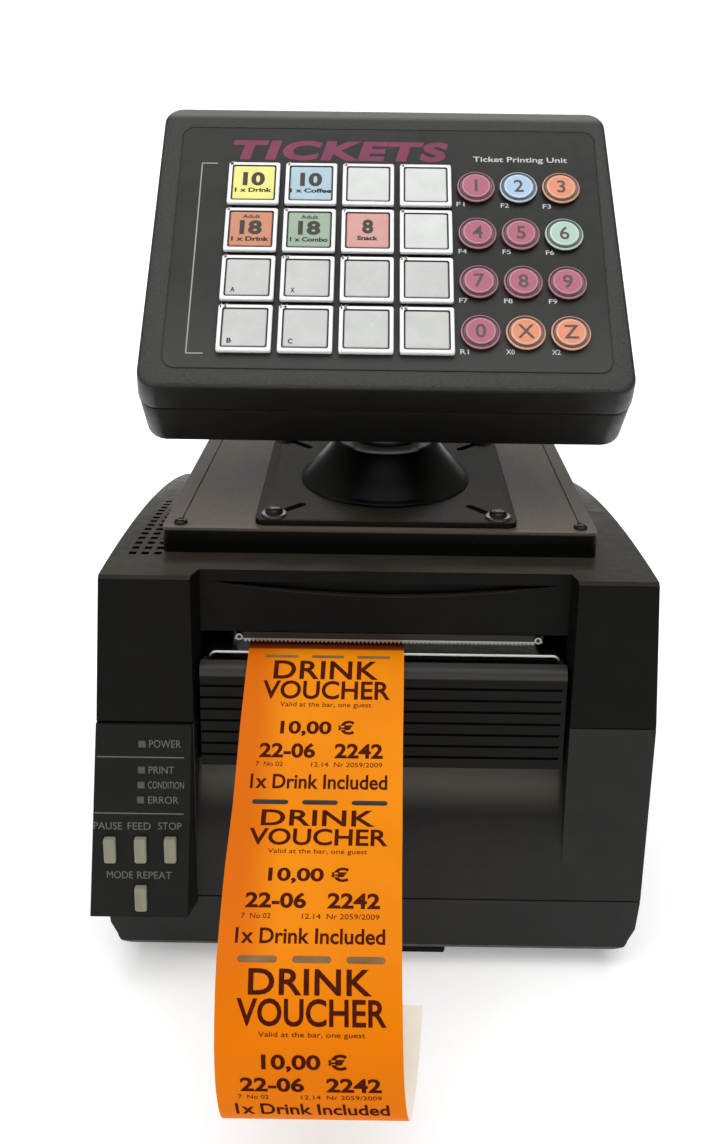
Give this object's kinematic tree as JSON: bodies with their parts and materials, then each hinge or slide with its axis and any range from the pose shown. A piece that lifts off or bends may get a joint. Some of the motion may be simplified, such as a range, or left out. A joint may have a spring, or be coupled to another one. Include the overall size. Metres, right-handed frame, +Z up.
{
  "type": "queue ticket printer",
  "caption": "Countertop ticket printer with a hinged top cover, a curved ticket outlet, and a tilting, swivelling key console on a raised tray.",
  "frame": {"origin": "on the counter, under the middle of the printer's case (the case is 289 mm long and 221 mm wide without its control panel, and the middle is halfway along both)", "axes": "+Z up; -Y towards the person at the front, where the ticket comes out; +X to that person's right"},
  "size_m": [0.2255, 0.4176, 0.34],
  "materials": {
    "case_plastic": "fine-grained, near-black",
    "apron_plastic": "satin, ribbed",
    "tray_finish": "satin, fine texture",
    "mount_paint": "black, semi-gloss",
    "shell_plastic": "textured, dark charcoal",
    "overlay_film": "satin film",
    "guide_steel": "bright",
    "bar_steel": "ground",
    "screw_steel": "plated",
    "bolt_steel": "plated",
    "foot_rubber": "matte",
    "platen_rubber": "ground",
    "gear_plastic": "moulded",
    "motor_steel": "satin",
    "pinion_brass": "machined",
    "head_alloy": "satin",
    "roll_paper": "thermal paper, orange face",
    "strip_paper": "thermal paper, orange face and white back",
    "spindle_plastic": "moulded",
    "board_green": "solder mask",
    "lens_green": "clear tinted",
    "button_beige": "satin",
    "key_yellow": "moulded cap",
    "key_sky": "moulded cap",
    "key_light_grey": "moulded cap",
    "key_orange_red": "moulded cap",
    "key_green": "moulded cap",
    "key_salmon": "moulded cap",
    "key_silver": "moulded cap",
    "key_pink": "moulded cap",
    "key_pale_blue": "moulded cap",
    "key_amber": "moulded cap",
    "key_mint": "moulded cap"
  },
  "bodies": {
    "base": {"base_case": "case_plastic", "control_panel": "case_plastic", "status_lenses": "lens_green", "outlet_apron": "apron_plastic", "outlet_guide": "guide_steel", "drive_motor": "motor_steel", "main_board": "board_green", "case_feet": "foot_rubber", "ticket_strip": "strip_paper", "roll_spindle": "spindle_plastic"},
    "roll": {"ticket_roll": "roll_paper"},
    "platen": {"platen_roller": "platen_rubber", "platen_gear": "gear_plastic"},
    "pinion": {"drive_pinion": "pinion_brass"},
    "cover": {"top_cover": "case_plastic", "print_head": "head_alloy", "tear_bar": "bar_steel", "adapter_tray": "tray_finish", "mount_base": "mount_paint", "mount_screws": "screw_steel"},
    "swivel": {"swivel_neck": "mount_paint", "tilt_bolt": "bolt_steel"},
    "console": {"tilt_bracket": "mount_paint", "console_front_shell": "shell_plastic", "console_rear_shell": "shell_plastic", "keypad_overlay": "overlay_film", "keypad_board": "board_green", "console_screws": "screw_steel"},
    "key_01_body": {"key_01": "key_yellow"},
    "key_02_body": {"key_02": "key_sky"},
    "key_03_body": {"key_03": "key_light_grey"},
    "key_04_body": {"key_04": "key_light_grey"},
    "key_05_body": {"key_05": "key_orange_red"},
    "key_06_body": {"key_06": "key_green"},
    "key_07_body": {"key_07": "key_salmon"},
    "key_08_body": {"key_08": "key_light_grey"},
    "key_09_body": {"key_09": "key_silver"},
    "key_10_body": {"key_10": "key_silver"},
    "key_11_body": {"key_11": "key_silver"},
    "key_12_body": {"key_12": "key_silver"},
    "key_13_body": {"key_13": "key_silver"},
    "key_14_body": {"key_14": "key_silver"},
    "key_15_body": {"key_15": "key_silver"},
    "key_16_body": {"key_16": "key_silver"},
    "key_num_0_body": {"key_num_0": "key_pink"},
    "key_num_1_body": {"key_num_1": "key_pink"},
    "key_num_2_body": {"key_num_2": "key_pale_blue"},
    "key_num_3_body": {"key_num_3": "key_amber"},
    "key_num_4_body": {"key_num_4": "key_pink"},
    "key_num_5_body": {"key_num_5": "key_pink"},
    "key_num_6_body": {"key_num_6": "key_mint"},
    "key_num_7_body": {"key_num_7": "key_pink"},
    "key_num_8_body": {"key_num_8": "key_pink"},
    "key_num_9_body": {"key_num_9": "key_pink"},
    "key_x_body": {"key_x": "key_amber"},
    "key_z_body": {"key_z": "key_amber"},
    "button_pause_body": {"button_pause": "button_beige"},
    "button_feed_body": {"button_feed": "button_beige"},
    "button_stop_body": {"button_stop": "button_beige"},
    "button_mode_body": {"button_mode": "button_beige"}
  },
  "joints": [
    {"name": "cover_hinge", "type": "hinge", "parent": "base", "child": "cover", "pos_m": [0, 0.1265, 0.1165], "axis": [-1, 0, 0], "range_deg": [0, 85]},
    {"name": "mount_swivel", "type": "hinge", "parent": "cover", "child": "swivel", "pos_m": [0.003, -0.0582, 0.2], "axis": [0, 0, 1], "range_deg": [-90, 90]},
    {"name": "console_tilt", "type": "hinge", "parent": "swivel", "child": "console", "pos_m": [0.003, -0.0582, 0.2195], "axis": [1, 0, 0], "range_deg": [-30, 10]},
    {"name": "roll_spin", "type": "hinge", "parent": "base", "child": "roll", "pos_m": [-0.02, 0.022, 0.068], "axis": [1, 0, 0], "continuous": true},
    {"name": "platen_spin", "type": "hinge", "parent": "base", "child": "platen", "pos_m": [0, -0.1145, 0.137], "axis": [1, 0, 0], "continuous": true},
    {"name": "pinion_spin", "type": "hinge", "parent": "base", "child": "pinion", "pos_m": [0.088, -0.09612, 0.11862], "axis": [1, 0, 0], "continuous": true},
    {"name": "key_01_press", "type": "slide", "parent": "console", "child": "key_01_body", "axis": [0, 0.6725, -0.7401], "range_m": [0, 0.0009], "stiffness_N_per_m": 400, "springref_m": -0.0005},
    {"name": "key_02_press", "type": "slide", "parent": "console", "child": "key_02_body", "axis": [0, 0.6725, -0.7401], "range_m": [0, 0.0009], "stiffness_N_per_m": 400, "springref_m": -0.0005},
    {"name": "key_03_press", "type": "slide", "parent": "console", "child": "key_03_body", "axis": [0, 0.6725, -0.7401], "range_m": [0, 0.0009], "stiffness_N_per_m": 400, "springref_m": -0.0005},
    {"name": "key_04_press", "type": "slide", "parent": "console", "child": "key_04_body", "axis": [0, 0.6725, -0.7401], "range_m": [0, 0.0009], "stiffness_N_per_m": 400, "springref_m": -0.0005},
    {"name": "key_05_press", "type": "slide", "parent": "console", "child": "key_05_body", "axis": [0, 0.6725, -0.7401], "range_m": [0, 0.0009], "stiffness_N_per_m": 400, "springref_m": -0.0005},
    {"name": "key_06_press", "type": "slide", "parent": "console", "child": "key_06_body", "axis": [0, 0.6725, -0.7401], "range_m": [0, 0.0009], "stiffness_N_per_m": 400, "springref_m": -0.0005},
    {"name": "key_07_press", "type": "slide", "parent": "console", "child": "key_07_body", "axis": [0, 0.6725, -0.7401], "range_m": [0, 0.0009], "stiffness_N_per_m": 400, "springref_m": -0.0005},
    {"name": "key_08_press", "type": "slide", "parent": "console", "child": "key_08_body", "axis": [0, 0.6725, -0.7401], "range_m": [0, 0.0009], "stiffness_N_per_m": 400, "springref_m": -0.0005},
    {"name": "key_09_press", "type": "slide", "parent": "console", "child": "key_09_body", "axis": [0, 0.6725, -0.7401], "range_m": [0, 0.0009], "stiffness_N_per_m": 400, "springref_m": -0.0005},
    {"name": "key_10_press", "type": "slide", "parent": "console", "child": "key_10_body", "axis": [0, 0.6725, -0.7401], "range_m": [0, 0.0009], "stiffness_N_per_m": 400, "springref_m": -0.0005},
    {"name": "key_11_press", "type": "slide", "parent": "console", "child": "key_11_body", "axis": [0, 0.6725, -0.7401], "range_m": [0, 0.0009], "stiffness_N_per_m": 400, "springref_m": -0.0005},
    {"name": "key_12_press", "type": "slide", "parent": "console", "child": "key_12_body", "axis": [0, 0.6725, -0.7401], "range_m": [0, 0.0009], "stiffness_N_per_m": 400, "springref_m": -0.0005},
    {"name": "key_13_press", "type": "slide", "parent": "console", "child": "key_13_body", "axis": [0, 0.6725, -0.7401], "range_m": [0, 0.0009], "stiffness_N_per_m": 400, "springref_m": -0.0005},
    {"name": "key_14_press", "type": "slide", "parent": "console", "child": "key_14_body", "axis": [0, 0.6725, -0.7401], "range_m": [0, 0.0009], "stiffness_N_per_m": 400, "springref_m": -0.0005},
    {"name": "key_15_press", "type": "slide", "parent": "console", "child": "key_15_body", "axis": [0, 0.6725, -0.7401], "range_m": [0, 0.0009], "stiffness_N_per_m": 400, "springref_m": -0.0005},
    {"name": "key_16_press", "type": "slide", "parent": "console", "child": "key_16_body", "axis": [0, 0.6725, -0.7401], "range_m": [0, 0.0009], "stiffness_N_per_m": 400, "springref_m": -0.0005},
    {"name": "key_num_0_press", "type": "slide", "parent": "console", "child": "key_num_0_body", "axis": [0, 0.6725, -0.7401], "range_m": [0, 0.0009], "stiffness_N_per_m": 400, "springref_m": -0.0005},
    {"name": "key_num_1_press", "type": "slide", "parent": "console", "child": "key_num_1_body", "axis": [0, 0.6725, -0.7401], "range_m": [0, 0.0009], "stiffness_N_per_m": 400, "springref_m": -0.0005},
    {"name": "key_num_2_press", "type": "slide", "parent": "console", "child": "key_num_2_body", "axis": [0, 0.6725, -0.7401], "range_m": [0, 0.0009], "stiffness_N_per_m": 400, "springref_m": -0.0005},
    {"name": "key_num_3_press", "type": "slide", "parent": "console", "child": "key_num_3_body", "axis": [0, 0.6725, -0.7401], "range_m": [0, 0.0009], "stiffness_N_per_m": 400, "springref_m": -0.0005},
    {"name": "key_num_4_press", "type": "slide", "parent": "console", "child": "key_num_4_body", "axis": [0, 0.6725, -0.7401], "range_m": [0, 0.0009], "stiffness_N_per_m": 400, "springref_m": -0.0005},
    {"name": "key_num_5_press", "type": "slide", "parent": "console", "child": "key_num_5_body", "axis": [0, 0.6725, -0.7401], "range_m": [0, 0.0009], "stiffness_N_per_m": 400, "springref_m": -0.0005},
    {"name": "key_num_6_press", "type": "slide", "parent": "console", "child": "key_num_6_body", "axis": [0, 0.6725, -0.7401], "range_m": [0, 0.0009], "stiffness_N_per_m": 400, "springref_m": -0.0005},
    {"name": "key_num_7_press", "type": "slide", "parent": "console", "child": "key_num_7_body", "axis": [0, 0.6725, -0.7401], "range_m": [0, 0.0009], "stiffness_N_per_m": 400, "springref_m": -0.0005},
    {"name": "key_num_8_press", "type": "slide", "parent": "console", "child": "key_num_8_body", "axis": [0, 0.6725, -0.7401], "range_m": [0, 0.0009], "stiffness_N_per_m": 400, "springref_m": -0.0005},
    {"name": "key_num_9_press", "type": "slide", "parent": "console", "child": "key_num_9_body", "axis": [0, 0.6725, -0.7401], "range_m": [0, 0.0009], "stiffness_N_per_m": 400, "springref_m": -0.0005},
    {"name": "key_x_press", "type": "slide", "parent": "console", "child": "key_x_body", "axis": [0, 0.6725, -0.7401], "range_m": [0, 0.0009], "stiffness_N_per_m": 400, "springref_m": -0.0005},
    {"name": "key_z_press", "type": "slide", "parent": "console", "child": "key_z_body", "axis": [0, 0.6725, -0.7401], "range_m": [0, 0.0009], "stiffness_N_per_m": 400, "springref_m": -0.0005},
    {"name": "button_pause_press", "type": "slide", "parent": "base", "child": "button_pause_body", "axis": [0, 1, 0], "range_m": [0, 0.0009], "stiffness_N_per_m": 400, "springref_m": -0.0005},
    {"name": "button_feed_press", "type": "slide", "parent": "base", "child": "button_feed_body", "axis": [0, 1, 0], "range_m": [0, 0.0009], "stiffness_N_per_m": 400, "springref_m": -0.0005},
    {"name": "button_stop_press", "type": "slide", "parent": "base", "child": "button_stop_body", "axis": [0, 1, 0], "range_m": [0, 0.0009], "stiffness_N_per_m": 400, "springref_m": -0.0005},
    {"name": "button_mode_press", "type": "slide", "parent": "base", "child": "button_mode_body", "axis": [0, 1, 0], "range_m": [0, 0.0009], "stiffness_N_per_m": 400, "springref_m": -0.0005}
  ],
  "couplings": [
    {"joint": "roll_spin", "follows": "platen_spin", "ratio": 0.15385},
    {"joint": "pinion_spin", "follows": "platen_spin", "ratio": -3.3333}
  ]
}
